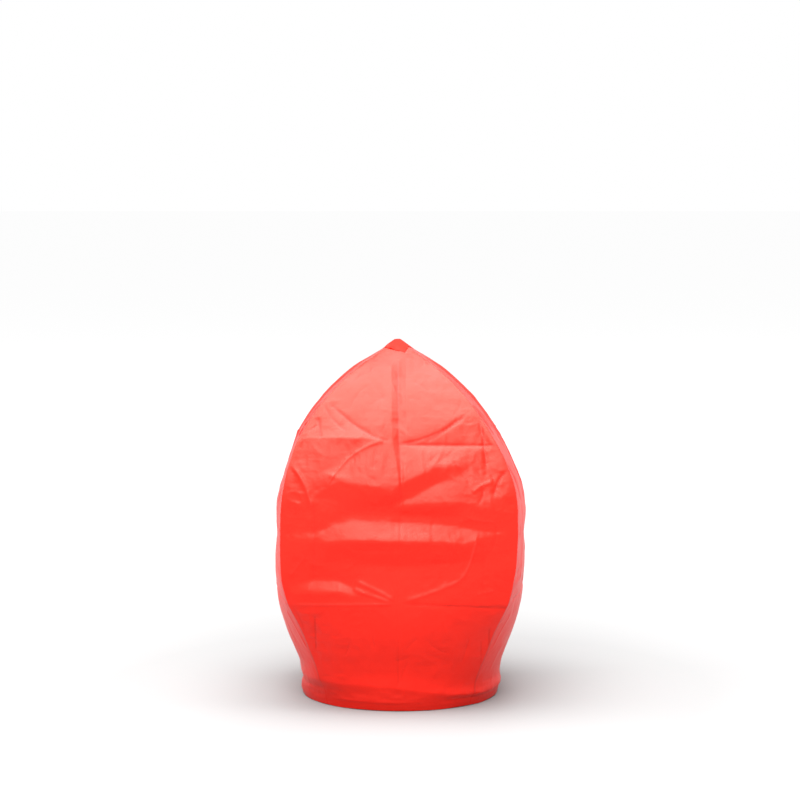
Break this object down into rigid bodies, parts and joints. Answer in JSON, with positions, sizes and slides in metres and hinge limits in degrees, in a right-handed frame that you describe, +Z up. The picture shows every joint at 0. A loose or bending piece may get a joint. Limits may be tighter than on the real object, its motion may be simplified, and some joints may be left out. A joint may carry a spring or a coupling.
{
  "type": "sky lantern",
  "caption": "Paper sky lantern standing on its bamboo hoop: four leaf-shaped gores meet in a point, with a waxed fuel cell on crossed wires in the open mouth.",
  "frame": {"origin": "centre of the hoop on the surface that the lantern stands on", "axes": "+Z up along the lantern's axis to its tip; -Y out of the front gore; +X to the right seen from the front, along cross wire A"},
  "size_m": [0.484, 0.484, 0.695],
  "materials": {
    "gore_paper": "satin",
    "patch_paper": "satin",
    "tape_paper": "satin",
    "bamboo": "satin",
    "thread": "matte",
    "iron_wire": "satin",
    "waxed_pad": "satin"
  },
  "bodies": {
    "envelope": {"gore_front": "gore_paper", "gore_right": "gore_paper", "gore_back": "gore_paper", "gore_left": "gore_paper", "hem_tape": "tape_paper", "hoop": "bamboo", "hoop_bindings": "thread", "cross_wire_a": "iron_wire", "cross_wire_b": "iron_wire"},
    "crown": {"crown_patch": "patch_paper"},
    "fuel_cell": {"fuel_pad_lower": "waxed_pad", "fuel_pad_upper": "waxed_pad", "cell_ties": "iron_wire"}
  },
  "joints": [
    {"name": "envelope_collapse", "type": "slide", "parent": "envelope", "child": "crown", "axis": [0, 0, 1], "range_m": [-0.558, 0], "deforming": ["gore_front", "gore_right", "gore_back", "gore_left"]},
    {"name": "cell_tilt", "type": "hinge", "parent": "envelope", "child": "fuel_cell", "pos_m": [0, 0, 0.01055], "axis": [1, 0, 0], "range_deg": [-8, 8]}
  ]
}
